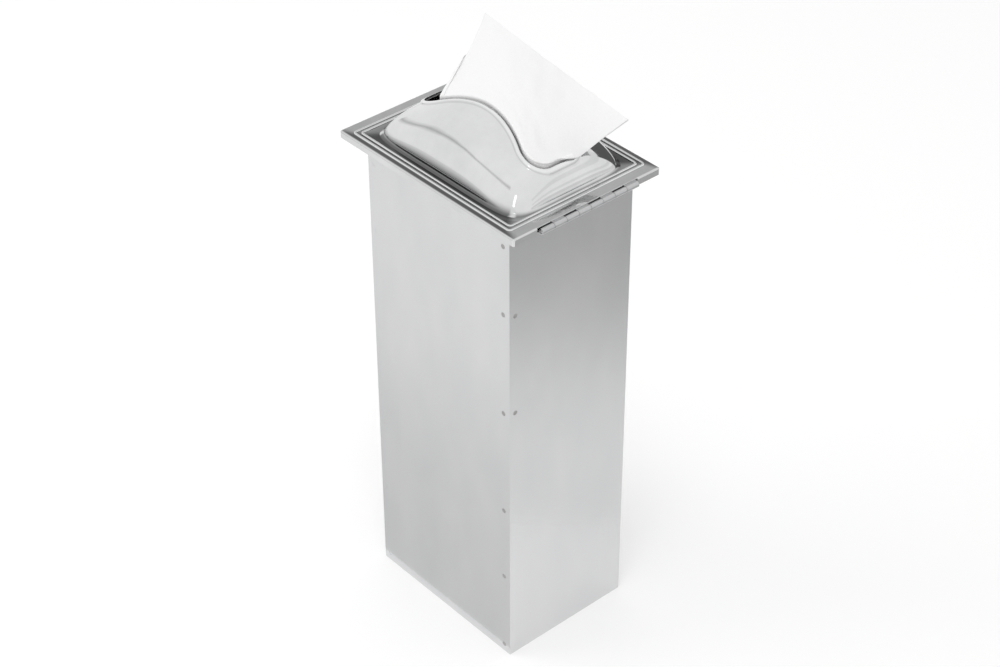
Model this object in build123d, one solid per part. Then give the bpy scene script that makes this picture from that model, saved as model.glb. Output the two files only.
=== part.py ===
from build123d import *
import math
import os

# Built-in napkin dispenser: a deep stainless tank that hangs in a counter cut-out,
# a hinged chrome faceplate with an hourglass slot, and a sprung platform that lifts
# the napkins. Millimetres. The origin is the middle of the tank's underside, +Z up,
# +X towards the hinge, and the two long walls face -Y and +Y.

# Tank
tank_length = 173.0
tank_width = 131.0
tank_depth = 447.0
tank_sheet = 0.9
bend_radius = 0.6
side_flange_reach = 9.8
hinge_flange_reach = 15.3
catch_flange_reach = 18.8
panel_joint_gap = 0.3
corner_notch_depth = 1.0
end_return_depth = 12.0
end_return_gap = 2.0
pan_wall_height = 10.0
weld_diameter = 4.0
weld_sink = 0.15
weld_inset = 7.5
weld_heights = (8.0, 88.0, 162.0, 266.0, 365.0, 430.0)
end_weld_inset = 6.0
end_weld_heights = (268.0, 365.0)
counter_screw_diameter = 4.4
counter_screw_spacing = 120.0

# Faceplate
plate_length = 212.0
plate_width = 154.5
plate_offset = -1.5
plate_sheet = 0.8
plate_corner_radius = 1.8
plate_edge_radius = 1.5
lip_floor_gap = 0.3
bead_width = 2.6
bead_height = 0.8
bead_crest_radius = 0.73
bead_corner_radius = 3.0
inner_bead_inset_x = 15.5
inner_bead_inset_y = 10.2
bead_spacing = 4.3
dome_length = 171.0
dome_width = 121.0
dome_rise = 44.4
dome_end_powers = (1.6, 1 / 0.55)
dome_side_powers = (1.8, 2.0)
dome_foot_exponent = 8.0
dome_crown_exponent = 2.0
dome_exponent_fade = 2.5
dome_foot_radius = 2.0
dome_levels = 22
dome_spline_points = 48
rim_width = 3.6
rim_rise = 1.8

# Slot: two round lobes joined by a narrow waist
slot_length = 144.0
slot_waist = 22.6
slot_lobe_radius = 13.5
slot_shoulder_radius = 25.0
slot_waist_radius = 120.0

# Continuous hinge
knuckle_pitch = 12.7
knuckle_count = 8
knuckle_gap = 0.3
leaf_sheet = 1.0
pin_diameter = 3.1
pin_clearance = 0.05
pin_end_chamfer = 0.3
cover_leaf_reach = 9.0
fixed_leaf_margin = 0.5
hinge_overhang = 1.5
leaf_notch_gap = 0.6
lip_notch_gap = 2.2

# Rivets
rivet_shank = 3.0
rivet_hole_gap = 0.05
rivet_head = 5.6
rivet_head_height = 0.9
hinge_rivet_inset = 4.0
hinge_rivet_pitch = 25.4
hinge_rivet_count = 4

# Spring catch at the end away from the hinge
catch_sheet = 0.5
catch_width = 24.0
catch_foot = 11.0
catch_foot_inset = 4.0
catch_ramp = 2.9
catch_tail = 1.9
catch_nose_height = 2.52
catch_rise = 4.2
catch_bend_radius = 0.7
catch_gap = 0.35
catch_rivet_spacing = 14.0

# Follower and its spring
travel = 300.0
platform_sheet = 0.9
platform_wall = 14.0
platform_corner_radius = 2.5
glide_clearance = 0.35
glide_thickness = 2.0
glide_diameter = 12.0
glide_stud = 4.0
glide_edge_radius = 0.8
glide_barb = 0.8
glide_barb_length = 1.5
glide_spread = 110.0
glide_end_spread = 70.0
glide_hole_gap = 0.1
wire_diameter = 2.6
spring_diameter = 62.0
spring_turns = 16
spring_closed_turns = 1.5
spring_closed_pitch = 3.2
spring_seat_gap = 0.3
cup_sheet = 0.9
cup_margin = 5.0
cup_depth = 5.0
cup_edge_radius = 1.5
cup_rivet_circle = 40.0
cup_rivet_count = 3

# Napkins
napkin_width = 165.0
napkin_depth = 127.0
fold_shrink = 2.0
stack_height = 60.0
napkins_in_stack = 12
stack_head_gap = 0.3
paper_thickness = 0.6
slot_paper_gap = 1.5
drawn_left_x = -52.0
drawn_right_y = 6.0
drawn_foot_gap = 1.5
drawn_rise = 9.0
drawn_bow = 8.0
drawn_corner_left = (-78.0, 53.6, 71.4)
drawn_corner_right = (84.0, 60.2, 41.9)
drawn_sag_left = (-9.0, 4.0, -26.0)
drawn_sag_right = (-3.0, -12.0, -34.0)

# Levels worked out from the sizes above
flange_top = tank_depth + tank_sheet
bore_radius = pin_diameter / 2 + pin_clearance
knuckle_radius = bore_radius + leaf_sheet
hinge_z = flange_top + knuckle_radius
plate_under = hinge_z + knuckle_radius
plate_top = plate_under + plate_sheet
lip_bottom = tank_depth + lip_floor_gap
plate_hinge_edge = plate_offset + plate_length / 2
plate_catch_edge = plate_offset - plate_length / 2
hinge_x = plate_hinge_edge + hinge_overhang
hinge_length = knuckle_pitch * knuckle_count
inner_x = tank_length / 2 - tank_sheet
inner_y = tank_width / 2 - tank_sheet
stack_top = plate_under - stack_head_gap
platform_top = stack_top - stack_height
platform_under = platform_top - platform_sheet


def box(x0, x1, y0, y1, z0, z1):
    """A box between two corners."""
    middle = Location(((x0 + x1) / 2, (y0 + y1) / 2, (z0 + z1) / 2))
    return middle * Box(x1 - x0, y1 - y0, z1 - z0)


def upright(radius, x, y, z0, z1):
    """A solid rod along Z."""
    return Location((x, y, (z0 + z1) / 2)) * Cylinder(radius, z1 - z0)


def rod_along(axis, radius, centre, start, stop):
    """A solid rod along X or Y, with the other two coordinates from centre."""
    x, y, z = centre
    middle = (start + stop) / 2
    if axis == "X":
        place = Location((middle, y, z), (0, 90, 0))
    else:
        place = Location((x, middle, z), (90, 0, 0))
    return place * Cylinder(radius, stop - start)


def bent_strip(plane, points, thickness, radius, side, start, stop):
    """Sheet bent along a line of points, extruded between two offsets from its plane."""
    spine = FilletPolyline(*points, radius=radius)
    outline = offset(spine, amount=thickness, side=side, closed=True)
    face = make_face(plane.offset(start) * outline)
    return extrude(face, amount=stop - start, dir=plane.z_dir)


def rounded_block(length, width, radius, z0, z1, centre_x=0.0):
    """A block with round vertical corners, centred on centre_x."""
    outline = Location((centre_x, 0, z0)) * RectangleRounded(length, width, radius)
    return extrude(outline, amount=z1 - z0)


def rivet(x, y, z_seat, z_end):
    """A rivet with its low domed head on z_seat and its shank down to z_end."""
    head = upright(rivet_head / 2, x, y, z_seat, z_seat + rivet_head_height)
    head = fillet(head.edges().group_by(Axis.Z)[-1], rivet_head_height * 0.6)
    return head + upright(rivet_shank / 2, x, y, z_end, z_seat)


def rivet_hole(x, y, z0, z1):
    """The clear hole for a rivet's shank."""
    return upright(rivet_shank / 2 + rivet_hole_gap, x, y, z0, z1)


def spread(count, pitch):
    """Places of count items at an even pitch, about zero."""
    return [(i - (count - 1) / 2) * pitch for i in range(count)]


hinge_rivet_places = [
    (tank_length / 2 + hinge_rivet_inset + rivet_head / 2, y)
    for y in spread(hinge_rivet_count, hinge_rivet_pitch)
]
catch_rivet_x = plate_catch_edge + plate_sheet + catch_foot_inset + catch_foot / 2
catch_rivet_places = [(catch_rivet_x, y) for y in spread(2, catch_rivet_spacing)]
cup_rivet_places = [
    (
        cup_rivet_circle / 2 * math.cos(2 * math.pi * i / cup_rivet_count),
        cup_rivet_circle / 2 * math.sin(2 * math.pi * i / cup_rivet_count),
    )
    for i in range(cup_rivet_count)
]


def tank_long_panel(side):
    """Flat long wall with its top bent out over the counter; side is -1 or 1 in Y."""
    wall = tank_width / 2
    half = tank_length / 2
    bend = half - panel_joint_gap
    points = [(wall, 0), (wall, tank_depth), (wall + side_flange_reach, tank_depth)]
    panel = bent_strip(Plane.YZ, points, tank_sheet, bend_radius, Side.LEFT, -bend, bend)
    panel += box(-half, half, wall - tank_sheet, wall, 0, tank_depth - corner_notch_depth)
    for x in spread(2, counter_screw_spacing):
        hole_y = wall + side_flange_reach / 2
        panel -= upright(counter_screw_diameter / 2, x, hole_y, tank_depth - 1, flange_top + 1)
    for end in (-1, 1):
        for z in weld_heights:
            x = end * (half - weld_inset)
            panel -= rod_along("Y", weld_diameter / 2, (x, 0, z), wall - weld_sink, wall + 1)
    return panel if side > 0 else mirror(panel, about=Plane.XZ)


def tank_end_panel(side, reach):
    """End wall: web, out-turned top, and two returns welded inside the long walls."""
    wall = tank_length / 2
    points = [(wall, 0), (wall, tank_depth), (wall + reach, tank_depth)]
    half = inner_y
    panel = bent_strip(Plane.XZ, points, tank_sheet, bend_radius, Side.LEFT, -half, half)
    top_half = tank_width / 2 + side_flange_reach
    panel += box(wall, wall + reach, -top_half, top_half, tank_depth, flange_top)
    returns = [
        (wall - end_return_depth, -half),
        (wall, -half),
        (wall, half),
        (wall - end_return_depth, half),
    ]
    foot = pan_wall_height + end_return_gap
    head = tank_depth - end_return_gap
    panel += bent_strip(Plane.XY, returns, tank_sheet, bend_radius, Side.LEFT, foot, head)
    if side > 0:
        for x, y in hinge_rivet_places:
            panel -= rivet_hole(x, y, tank_depth - 1, flange_top + 1)
        for z in end_weld_heights:
            y = -(tank_width / 2 - end_weld_inset)
            panel -= rod_along("X", weld_diameter / 2, (0, y, z), wall - weld_sink, wall + 1)
        return panel
    panel = mirror(panel, about=Plane.YZ)
    for x, y in catch_rivet_places:
        panel -= rivet_hole(x, y, tank_depth - 1, flange_top + 1)
    return panel


def tank_bottom_pan():
    """Floor of the tank, a tray whose four walls are welded inside the panels."""
    pan = box(-inner_x, inner_x, -inner_y, inner_y, 0, tank_sheet)
    corner = bend_radius + tank_sheet
    top = tank_sheet + pan_wall_height
    for end in (-1, 1):
        x0, x1 = sorted((end * inner_x, end * (inner_x - tank_sheet)))
        pan += box(x0, x1, -inner_y + corner, inner_y - corner, 0, top)
        y0, y1 = sorted((end * inner_y, end * (inner_y - tank_sheet)))
        pan += box(-inner_x + corner, inner_x - corner, y0, y1, 0, top)
    for x, y in cup_rivet_places:
        pan -= rivet_hole(x, y, -1, tank_sheet + 1)
    return pan


def spring_cup(z_plate, up):
    """Round pressed cup that holds the spring's end coil; up is 1 or -1 in Z."""
    outer = spring_diameter / 2 + cup_margin
    hub = spring_diameter / 2 - wire_diameter - spring_seat_gap
    cup = upright(outer, 0, 0, 0, cup_sheet)
    cup += upright(hub, 0, 0, 0, cup_sheet + cup_depth)
    cup = fillet(cup.edges().group_by(Axis.Z)[-1], cup_edge_radius)
    cup -= upright(hub - cup_sheet, 0, 0, cup_sheet, cup_sheet + cup_depth + 1)
    for x, y in cup_rivet_places:
        cup -= rivet_hole(x, y, -1, cup_sheet + 1)
    if up < 0:
        cup = mirror(cup, about=Plane.XY)
    return Location((0, 0, z_plate)) * cup


def cup_rivets(z_face, z_end, up):
    """The rivets that hold a spring cup, heads inside the cup."""
    group = []
    for x, y in cup_rivet_places:
        one = rivet(x, y, 0, -abs(z_end - z_face))
        if up < 0:
            one = mirror(one, about=Plane.XY)
        group.append(Location((0, 0, z_face)) * one)
    return Compound(children=group)


def spring_rise(turn, length):
    """Height of the wire's centre after turn turns; the end turns lie closed."""
    active = spring_turns - 2 * spring_closed_turns
    closed = spring_closed_turns * spring_closed_pitch
    pitch = (length - 2 * closed) / active
    if turn <= spring_closed_turns:
        return turn * spring_closed_pitch
    if turn >= spring_turns - spring_closed_turns:
        return length - (spring_turns - turn) * spring_closed_pitch
    return closed + (turn - spring_closed_turns) * pitch


def biarc(start, start_dir, end, end_dir):
    """Two tangent arcs from start to end, each tangent to its direction there."""
    gap = end - start
    both = start_dir + end_dir
    a = 2 * (1 - start_dir.dot(end_dir))
    b = 2 * gap.dot(both)
    c = -gap.dot(gap)
    reach = (-b + math.sqrt(b * b - 4 * a * c)) / (2 * a)
    joint = (start + start_dir * reach + end - end_dir * reach) * 0.5
    first = Edge.make_tangent_arc(start, start_dir, joint)
    second = Edge.make_tangent_arc(joint, first % 1, end)
    return [first, second]


def follower_spring():
    """Compression spring: one unbroken round wire with closed end turns."""
    low = tank_sheet + cup_sheet + wire_diameter / 2 + spring_seat_gap
    high = platform_under - cup_sheet - wire_diameter / 2 - spring_seat_gap
    length = high - low
    radius = spring_diameter / 2 - wire_diameter / 2
    steps = spring_turns * 4
    places, headings = [], []
    for i in range(steps + 1):
        turn = i / 4
        angle = 2 * math.pi * turn
        before = spring_rise(max(turn - 0.25, 0), length)
        after = spring_rise(min(turn + 0.25, spring_turns), length)
        span = min(turn + 0.25, spring_turns) - max(turn - 0.25, 0)
        slope = (after - before) / span / (2 * math.pi * radius)
        places.append(
            Vector(radius * math.cos(angle), radius * math.sin(angle), low + spring_rise(turn, length))
        )
        headings.append(Vector(-math.sin(angle), math.cos(angle), slope).normalized())
    edges = []
    for i in range(steps):
        edges += biarc(places[i], headings[i], places[i + 1], headings[i + 1])
    path = Wire(edges)
    section = Plane(places[0], z_dir=headings[0]) * Circle(wire_diameter / 2)
    least = min(
        (places[i + 4] - places[i]).length - wire_diameter for i in range(steps - 3)
    )
    print("follower spring: least gap between turns", round(least, 2), "mm")
    return sweep(section, path=path)


def dome_level(share, grow):
    """Half length, half width and corner exponent of the dome at a share of its height."""
    flare = dome_foot_radius * max(1 - share * dome_rise / dome_foot_radius, 0) ** 2
    end_reach = (1 - share ** dome_end_powers[1]) ** (1 / dome_end_powers[0])
    side_reach = (1 - share ** dome_side_powers[1]) ** (1 / dome_side_powers[0])
    half_length = (dome_length / 2 + grow) * end_reach + flare
    half_width = (dome_width / 2 + grow) * side_reach + flare
    squareness = (dome_foot_exponent - dome_crown_exponent) * (1 - share) ** dome_exponent_fade
    return half_length, half_width, dome_crown_exponent + squareness


def dome_body(grow, z_foot):
    """The dome as a closed body: level curves from its foot to its crown, lofted.

    The levels lie close together at the foot and at the crown, and the top one is flat.
    """
    wires = []
    for level in range(dome_levels - 1):
        share = (1 - math.cos(math.pi * level / dome_levels)) / 2
        half_length, half_width, exponent = dome_level(share, grow)
        ring = []
        for i in range(dome_spline_points):
            angle = 2 * math.pi * i / dome_spline_points
            along = abs(math.cos(angle)) / half_length
            across = abs(math.sin(angle)) / half_width
            reach = (along**exponent + across**exponent) ** (-1 / exponent)
            ring.append(
                (reach * math.cos(angle), reach * math.sin(angle), z_foot + share * dome_rise)
            )
        wires.append(Wire([Edge.make_spline([Vector(*p) for p in ring], periodic=True)]))
    return Solid.make_loft(wires)


def slot_joints(grow):
    """Sizes of the slot's outline moved outwards by grow: half length, waist, radii, joints."""
    half = slot_length / 2 + grow
    waist = slot_waist / 2 + grow
    lobe = slot_lobe_radius + grow
    shoulder = slot_shoulder_radius + grow
    neck = slot_waist_radius - grow
    lobe_x = half - lobe
    lobe_top = waist + neck + shoulder - math.sqrt((neck + shoulder) ** 2 - lobe_x**2)
    swing = math.asin(lobe_x / (neck + shoulder))
    return half, waist, lobe, shoulder, neck, lobe_x, lobe_top, swing


def on_circle(centre_x, centre_y, radius, angle):
    """A point on a circle, with the angle from +X in radians."""
    return (centre_x + radius * math.cos(angle), centre_y + radius * math.sin(angle))


def slot_quarter(grow):
    """Points of the slot's edge from the end's middle to the waist, as three tangent arcs."""
    half, waist, lobe, shoulder, neck, lobe_x, lobe_top, swing = slot_joints(grow)
    lobe_y = lobe_top - lobe
    end = (half, lobe_y)
    lobe_mid = on_circle(lobe_x, lobe_y, lobe, math.pi / 4)
    top = (lobe_x, lobe_top)
    shoulder_y = lobe_top - shoulder
    shoulder_mid = on_circle(lobe_x, shoulder_y, shoulder, math.pi / 2 + swing / 2)
    turn = on_circle(lobe_x, shoulder_y, shoulder, math.pi / 2 + swing)
    neck_mid = on_circle(0, waist + neck, neck, -math.pi / 2 + swing / 2)
    return end, lobe_mid, top, shoulder_mid, turn, neck_mid, (0, waist)


def slot_face(grow):
    """The hourglass outline of the slot as a face, moved outwards by grow."""
    edges = []
    for sx, sy in ((1, 1), (-1, 1), (-1, -1), (1, -1)):
        points = [(x * sx, y * sy) for x, y in slot_quarter(grow)]
        for i in (0, 2, 4):
            edges.append(ThreePointArc(points[i], points[i + 1], points[i + 2]).edge())
    end = slot_quarter(grow)[0]
    for sx in (1, -1):
        edges.append(Line((end[0] * sx, -end[1]), (end[0] * sx, end[1])).edge())
    return make_face(edges)


def slot_prism(grow):
    """The slot's outline carried up through the dome."""
    return extrude(Location((0, 0, plate_top)) * slot_face(grow), amount=dome_rise + 20)


def bead_ring(inset, width, z0, z1):
    """A rectangular ring of one bead; inset is its distance in X inside the inner bead."""
    length = plate_length - 2 * (inner_bead_inset_x + inset)
    across = plate_width - 2 * (inner_bead_inset_y + inset)
    corner, side = bead_corner_radius, width / 2
    outer = rounded_block(
        length + width, across + width, corner + side, z0, z1, plate_offset
    )
    inner = rounded_block(
        length - width, across - width, corner - side, z0 - 1, z1 + 1, plate_offset
    )
    return outer - inner


def bead_rib(inset):
    """The bead as it stands on the plate, with a round crest."""
    rib = bead_ring(inset, bead_width, plate_under + plate_sheet / 4, plate_top + bead_height)
    return fillet(rib.edges().group_by(Axis.Z)[-1], bead_crest_radius)


def bead_groove(inset):
    """The groove that the bead leaves under the plate."""
    width = bead_width - 2 * plate_sheet
    return bead_ring(inset, width, plate_under - 1, plate_under + bead_height)


def cover_faceplate():
    """One pressed piece: turned-down lip, two beads, dome and slot with a raised rim."""
    plate = rounded_block(
        plate_length, plate_width, plate_corner_radius, lip_bottom, plate_top, plate_offset
    )
    plate = fillet(plate.edges().group_by(Axis.Z)[-1], plate_edge_radius)
    plate -= rounded_block(
        plate_length - 2 * plate_sheet, plate_width - 2 * plate_sheet,
        plate_corner_radius - plate_sheet, lip_bottom - 1, plate_under, plate_offset,
    )
    notch = hinge_length / 2 + lip_notch_gap
    plate -= box(
        plate_hinge_edge - plate_sheet, plate_hinge_edge + 1, -notch, notch,
        lip_bottom - 1, plate_top + 1,
    )
    plate += dome_body(0, plate_top)
    for inset in (0, -bead_spacing):
        plate += bead_rib(inset)
        plate -= bead_groove(inset)
    hollow = dome_body(-plate_sheet, plate_under)
    rim = slot_prism(rim_width) & dome_body(rim_rise, plate_top + rim_rise)
    plate += rim
    plate -= hollow
    plate -= slot_prism(0)
    return plate


def knuckle(index):
    """The Y span of one hinge knuckle."""
    start = -hinge_length / 2 + index * knuckle_pitch
    return start + knuckle_gap / 2, start + knuckle_pitch - knuckle_gap / 2


def hinge_leaf(first, z0, inner_edge):
    """A leaf with every second knuckle, starting at first, cut back at the others."""
    leaf = box(inner_edge, hinge_x, -hinge_length / 2, hinge_length / 2, z0, z0 + leaf_sheet)
    clear = hinge_x - knuckle_radius - leaf_notch_gap
    for i in range(knuckle_count):
        y0, y1 = knuckle(i)
        if i % 2 == first:
            leaf += rod_along("Y", knuckle_radius, (hinge_x, 0, hinge_z), y0, y1)
        else:
            leaf -= box(clear, hinge_x + 1, y0 - knuckle_gap, y1 + knuckle_gap, z0 - 1, z0 + 2)
    bore = rod_along("Y", bore_radius, (hinge_x, 0, hinge_z), -hinge_length, hinge_length)
    return leaf - bore


def hinge_fixed_leaf():
    """Lower leaf, riveted on the tank's flange."""
    inner_edge = hinge_rivet_places[0][0] - rivet_head / 2 - fixed_leaf_margin
    leaf = hinge_leaf(0, flange_top, inner_edge)
    for x, y in hinge_rivet_places:
        leaf -= rivet_hole(x, y, flange_top - 1, flange_top + leaf_sheet + 1)
    return leaf


def hinge_cover_leaf():
    """Upper leaf, welded under the faceplate."""
    return hinge_leaf(1, plate_under - leaf_sheet, plate_hinge_edge - cover_leaf_reach)


def hinge_pin():
    """Plain pin through all the knuckles."""
    half = hinge_length / 2 - knuckle_gap
    pin = rod_along("Y", pin_diameter / 2, (hinge_x, 0, hinge_z), -half, half)
    return chamfer(pin.edges(), pin_end_chamfer)


def hinge_rivets():
    """Rivets that hold the fixed leaf to the tank's flange."""
    seat = flange_top + leaf_sheet
    return Compound(children=[rivet(x, y, seat, tank_depth) for x, y in hinge_rivet_places])


def catch_spring():
    """Spring steel strip whose nose bears on the inside of the faceplate's lip."""
    nose_x = plate_catch_edge + plate_sheet + catch_gap
    foot_x = catch_rivet_x + catch_foot / 2
    points = [
        (foot_x, flange_top),
        (nose_x + catch_ramp, flange_top),
        (nose_x, flange_top + catch_nose_height),
        (nose_x + catch_tail, flange_top + catch_rise),
    ]
    half = catch_width / 2
    strip = bent_strip(
        Plane.XZ, points, catch_sheet, catch_bend_radius, Side.RIGHT, -half, half
    )
    for x, y in catch_rivet_places:
        strip -= rivet_hole(x, y, flange_top - 1, flange_top + catch_sheet + 1)
    return strip


def catch_rivets():
    """Rivets that hold the catch spring to the tank's flange."""
    seat = flange_top + catch_sheet
    return Compound(children=[rivet(x, y, seat, tank_depth) for x, y in catch_rivet_places])


platform_half_x = inner_x - glide_clearance - glide_thickness
platform_half_y = inner_y - tank_sheet - glide_clearance - glide_thickness
glide_z = platform_under - platform_wall / 2
glide_places = [("Y", x, end) for x in spread(2, glide_spread) for end in (-1, 1)]
glide_places += [("X", y, end) for y in spread(2, glide_end_spread) for end in (-1, 1)]


def follower_platform():
    """Tray that carries the napkins, its four walls turned down."""
    low = platform_under - platform_wall
    tray = rounded_block(
        platform_half_x * 2, platform_half_y * 2, platform_corner_radius, low, platform_top
    )
    tray = fillet(tray.edges().group_by(Axis.Z)[-1], bend_radius + platform_sheet)
    tray -= rounded_block(
        (platform_half_x - platform_sheet) * 2, (platform_half_y - platform_sheet) * 2,
        platform_corner_radius - platform_sheet, low - 1, platform_under,
    )
    for axis, place, end in glide_places:
        face = platform_half_x if axis == "X" else platform_half_y
        centre = (0, place, glide_z) if axis == "X" else (place, 0, glide_z)
        start, stop = sorted(((face - platform_sheet - 1) * end, (face + 1) * end))
        tray -= rod_along(axis, glide_stud / 2 + glide_hole_gap, centre, start, stop)
    for x, y in cup_rivet_places:
        tray -= rivet_hole(x, y, platform_under - 1, platform_top + 1)
    return tray


def follower_glides():
    """Nylon buttons snapped through the tray's walls; they run on the tank's walls."""
    group = []
    for axis, place, end in glide_places:
        face = platform_half_x if axis == "X" else platform_half_y
        button = upright(glide_diameter / 2, 0, 0, 0, glide_thickness)
        button = fillet(button.edges().group_by(Axis.Z)[-1], glide_edge_radius)
        button += upright(glide_stud / 2, 0, 0, -platform_sheet, 0)
        barb_end = -platform_sheet - glide_barb_length
        button += upright(glide_stud / 2 + glide_barb, 0, 0, barb_end, -platform_sheet)
        turn = (0, 90 * end, 0) if axis == "X" else (-90 * end, 0, 0)
        at = (face * end, place, glide_z) if axis == "X" else (place, face * end, glide_z)
        group.append(Location(at, turn) * button)
    return Compound(children=group)


def napkin_stack():
    """Folded napkins lying on the platform, each with its round folded edge to -Y."""
    each = stack_height / napkins_in_stack
    length = napkin_width - fold_shrink
    width = napkin_depth - fold_shrink
    group = []
    for i in range(napkins_in_stack):
        z0 = platform_top + i * each
        one = box(-length / 2, length / 2, -width / 2, width / 2, z0, z0 + each)
        fold = one.edges().filter_by(Axis.X).group_by(Axis.Y)[0]
        group.append(fillet(fold, each * 0.4))
    return Compound(children=group)


def dome_height(x, y, grow, z_foot):
    """Height of the dome's surface over a point, by halving."""
    low, high = 0.0, 1.0
    for _ in range(40):
        middle = (low + high) / 2
        half_length, half_width, exponent = dome_level(middle, grow)
        inside = (abs(x) / half_length) ** exponent + (abs(y) / half_width) ** exponent < 1
        low, high = (middle, high) if inside else (low, middle)
    return z_foot + low * dome_rise


def drawn_line(count):
    """The napkin's line through the slot in plan: even places from its left to its right.

    It follows the slot's near edge at slot_paper_gap from the left lobe, past the waist and
    round the right lobe, so the napkin is gathered to a little less than its own width.
    """
    half, waist, lobe, shoulder, neck, lobe_x, lobe_top, swing = slot_joints(-slot_paper_gap)
    lobe_y = lobe_top - lobe
    shoulder_y = shoulder - lobe_top
    quarter = math.pi / 2
    left_turn = math.asin((lobe_x + drawn_left_x) / shoulder)
    arcs = [
        (-lobe_x, shoulder_y, shoulder, left_turn - quarter, swing - quarter),
        (0, -waist - neck, neck, quarter + swing, quarter - swing),
        (lobe_x, shoulder_y, shoulder, -quarter - swing, -quarter),
        (lobe_x, -lobe_y, lobe, -quarter, 0),
    ]
    points = []
    for centre_x, centre_y, radius, start, stop in arcs:
        for i in range(60):
            points.append(on_circle(centre_x, centre_y, radius, start + (stop - start) * i / 60))
    points += [(half, -lobe_y), (half, drawn_right_y)]
    run = [0.0]
    for here, ahead in zip(points, points[1:]):
        run.append(run[-1] + math.dist(here, ahead))
    line = []
    for i in range(count + 1):
        place = run[-1] * i / count
        k = max(j for j in range(len(run) - 1) if run[j] <= place)
        part = (place - run[k]) / (run[k + 1] - run[k])
        x, y = (a + (b - a) * part for a, b in zip(points[k], points[k + 1]))
        line.append((x, y))
    return line


def drawn_napkin():
    """The napkin being drawn: upright in the slot, then laid back over its far edge.

    Above the slot each of its threads is a cubic curve that starts straight up, and the
    threads at the two side edges sag more than those between. The foot is cut level, clear
    of the napkins on the platform.
    """
    count = 28
    left, right = Vector(*drawn_corner_left), Vector(*drawn_corner_right)
    sag_left, sag_right = Vector(*drawn_sag_left), Vector(*drawn_sag_right)
    rows = []
    for rise in (-0.33, 0, 0.33, 0.66, 1.0, 1.14, 1.28, 1.42, 1.56, 1.7, 1.85, 2.0):
        row = []
        for i, (x, y) in enumerate(drawn_line(count)):
            share = i / count
            rim = dome_height(x, y, rim_rise, plate_top + rim_rise) + slot_paper_gap
            base = Vector(x, y, rim)
            if rise <= 1:
                row.append(Vector(x, y, plate_under + (rim - plate_under) * rise))
                continue
            top = left + (right - left) * share + Vector(0, 0, plate_top)
            first = base + Vector(0, 0, drawn_rise)
            second = (base + top) * 0.5 + Vector(0, 0, drawn_bow)
            second += sag_left * (1 - share) ** 3 + sag_right * share**3
            t, u = rise - 1, 2 - rise
            row.append(base * u**3 + first * 3 * t * u**2 + second * 3 * t**2 * u + top * t**3)
        rows.append(row)
    sheet = Face.make_surface_from_array_of_points(rows, tol=0.05)
    napkin = Solid.thicken(sheet, paper_thickness)
    foot = plate_under + drawn_foot_gap
    return napkin - box(-slot_length, slot_length, -plate_width, plate_width, 0, foot)


parts = {
    "tank_front_panel": tank_long_panel(-1),
    "tank_back_panel": tank_long_panel(1),
    "tank_hinge_end_panel": tank_end_panel(1, hinge_flange_reach),
    "tank_catch_end_panel": tank_end_panel(-1, catch_flange_reach),
    "tank_bottom_pan": tank_bottom_pan(),
    "spring_seat": spring_cup(tank_sheet, 1),
    "spring_seat_rivets": cup_rivets(tank_sheet + cup_sheet, 0, 1),
    "hinge_fixed_leaf": hinge_fixed_leaf(),
    "hinge_pin": hinge_pin(),
    "hinge_rivets": hinge_rivets(),
    "catch_spring": catch_spring(),
    "catch_rivets": catch_rivets(),
    "cover_faceplate": cover_faceplate(),
    "hinge_cover_leaf": hinge_cover_leaf(),
    "follower_platform": follower_platform(),
    "follower_spring_cup": spring_cup(platform_under, -1),
    "follower_cup_rivets": cup_rivets(platform_under - cup_sheet, platform_top, -1),
    "follower_glides": follower_glides(),
    "follower_spring": follower_spring(),
    "napkin_stack": napkin_stack(),
    "drawn_napkin": drawn_napkin(),
}

os.makedirs("parts", exist_ok=True)
for name, shape in parts.items():
    export_step(shape, "parts/" + name + ".step")
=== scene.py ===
import math
import bpy
import numpy as np
from mathutils import Matrix, Vector, noise


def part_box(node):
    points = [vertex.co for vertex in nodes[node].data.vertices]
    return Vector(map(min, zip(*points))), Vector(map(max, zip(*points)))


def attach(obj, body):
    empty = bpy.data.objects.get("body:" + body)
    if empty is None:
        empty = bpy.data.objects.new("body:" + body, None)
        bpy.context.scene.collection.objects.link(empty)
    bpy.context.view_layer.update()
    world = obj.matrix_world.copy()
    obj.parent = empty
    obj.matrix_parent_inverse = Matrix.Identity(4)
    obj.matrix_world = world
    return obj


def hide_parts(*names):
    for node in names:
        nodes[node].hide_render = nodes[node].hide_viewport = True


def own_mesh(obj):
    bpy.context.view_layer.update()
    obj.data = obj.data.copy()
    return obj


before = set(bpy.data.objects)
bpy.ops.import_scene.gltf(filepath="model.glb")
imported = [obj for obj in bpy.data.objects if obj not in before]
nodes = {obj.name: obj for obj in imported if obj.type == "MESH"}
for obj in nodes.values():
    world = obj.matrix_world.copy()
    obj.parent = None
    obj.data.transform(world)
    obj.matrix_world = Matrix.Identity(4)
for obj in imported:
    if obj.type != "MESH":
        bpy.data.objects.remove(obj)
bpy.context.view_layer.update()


# Tank: four sheets of bright rolled stainless steel and a bottom tray, spot welded
# along the corner returns. The solids have the bends, holes and weld dimples, so only
# the finish is given here: rolling lines that run up the walls and a faint haze.
def node_tree(material):
    """The material's node tree, its shader, and a short way to add and join nodes."""
    material.use_nodes = True
    tree = material.node_tree
    shader = tree.nodes["Principled BSDF"]

    def add(kind, **values):
        node = tree.nodes.new(kind)
        for name, value in values.items():
            if name in node.inputs:
                node.inputs[name].default_value = value
            else:
                setattr(node, name, value)
        return node

    def join(start, out, end, into):
        tree.links.new(start.outputs[out], end.inputs[into])

    return shader, add, join


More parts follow.
